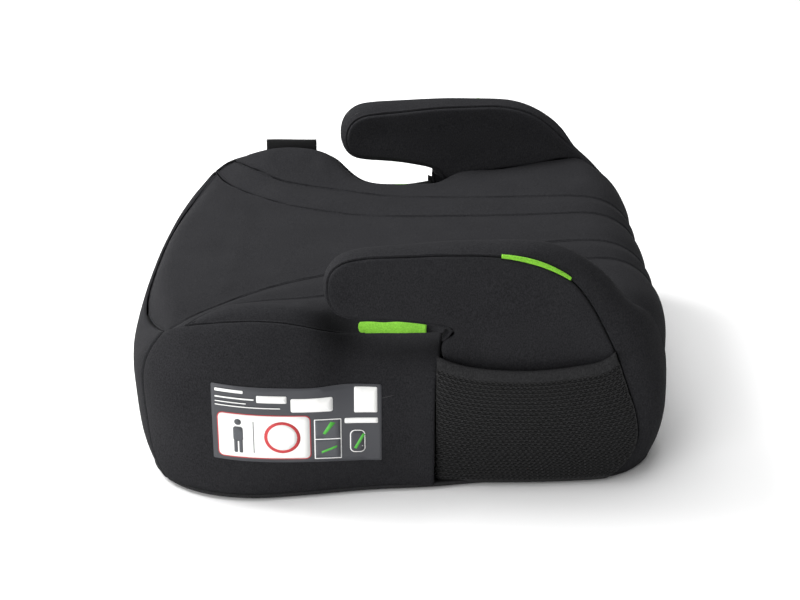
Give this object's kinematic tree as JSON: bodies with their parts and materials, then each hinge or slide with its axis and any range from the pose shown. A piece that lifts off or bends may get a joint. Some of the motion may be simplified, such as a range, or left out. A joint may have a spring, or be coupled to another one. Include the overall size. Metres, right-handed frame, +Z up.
{
  "type": "booster seat",
  "caption": "Backless child car booster seat with a quilted knit cover, horned armrests over the lap-belt slots and mesh side pockets.",
  "frame": {"origin": "middle of the footprint, on the plane the rubber feet stand on", "axes": "+X the way the child faces, +Y the child's left, +Z up"},
  "size_m": [0.4201, 0.441, 0.1938],
  "materials": {
    "cover_knit": "charcoal heathered knit over thin wadding, matt",
    "cover_lining": "black woven hem and binding, matt",
    "pocket_mesh": "black open spacer mesh",
    "green_ribbon": "bright green woven ribbon and piping",
    "label_print": "satin printed label on dark ground",
    "tag_weave": "dark woven tag",
    "elastic": "knitted elastic, matt",
    "foam": "grey open-cell polyurethane foam",
    "moulded_shell": "black moulded polypropylene, fine spark grain",
    "zinc_screw": "zinc-plated pan-head screw",
    "foot_rubber": "soft black rubber, matt"
  },
  "bodies": {
    "root": {"armrest_core_left": "moulded_shell", "armrest_core_right": "moulded_shell", "armrest_foam_left": "foam", "armrest_foam_right": "foam", "armrest_gusset_left": "cover_knit", "armrest_gusset_right": "cover_knit", "armrest_inner_panel_left": "cover_knit", "armrest_inner_panel_right": "cover_knit", "armrest_outer_panel_left": "cover_knit", "armrest_outer_panel_right": "cover_knit", "armrest_piping_left": "green_ribbon", "armrest_piping_right": "green_ribbon", "armrest_screws": "zinc_screw", "belt_marker_tab_left": "green_ribbon", "belt_marker_tab_right": "green_ribbon", "cover_bolster_left": "cover_knit", "cover_bolster_right": "cover_knit", "cover_centre_panel": "cover_knit", "cover_channel_left": "cover_knit", "cover_channel_right": "cover_knit", "cover_hem": "cover_lining", "cover_hip_side_left": "cover_knit", "cover_hip_side_right": "cover_knit", "cover_hip_top_left": "cover_knit", "cover_hip_top_right": "cover_knit", "cover_rear_panel": "cover_knit", "cover_slot_floor_left": "cover_knit", "cover_slot_floor_right": "cover_knit", "hem_elastic": "elastic", "hip_foam_left": "foam", "hip_foam_right": "foam", "instruction_label": "label_print", "pocket_binding_left": "cover_lining", "pocket_binding_right": "cover_lining", "pocket_mesh_left": "pocket_mesh", "pocket_mesh_right": "pocket_mesh", "rubber_feet": "foot_rubber", "seat_foam_pad": "foam", "seat_tub": "moulded_shell", "woven_tag": "tag_weave"}
  },
  "joints": []
}
